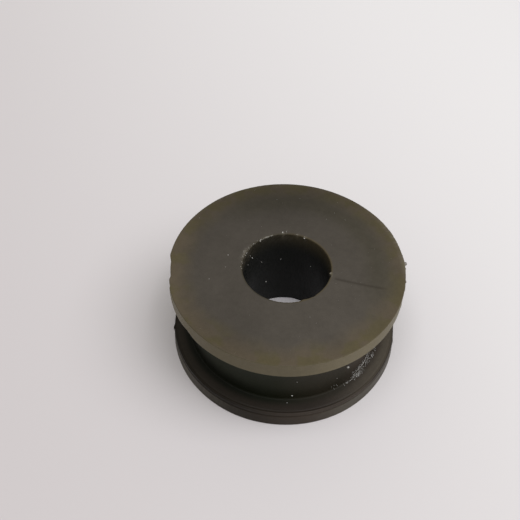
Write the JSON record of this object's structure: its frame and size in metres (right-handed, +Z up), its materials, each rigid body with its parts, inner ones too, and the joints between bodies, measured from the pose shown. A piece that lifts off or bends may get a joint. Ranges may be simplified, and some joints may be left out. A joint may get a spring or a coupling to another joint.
{
  "type": "gear lever bushing",
  "caption": "Short moulded spool bushing with two flanges, a groove for a plate edge and a straight through bore for a gear lever's pin.",
  "frame": {"origin": "centre of the base on the bore's axis", "axes": "+Z up the bore, from the base flange to the top flange; the mould's halves met at +X and -X, and the top rim is pared flat at -X"},
  "size_m": [0.0321, 0.032, 0.0143],
  "materials": {
    "moulding": "satin dark olive grey moulded rubber, slightly translucent at its edges"
  },
  "bodies": {
    "root": {"bushing": "moulding"}
  },
  "joints": []
}
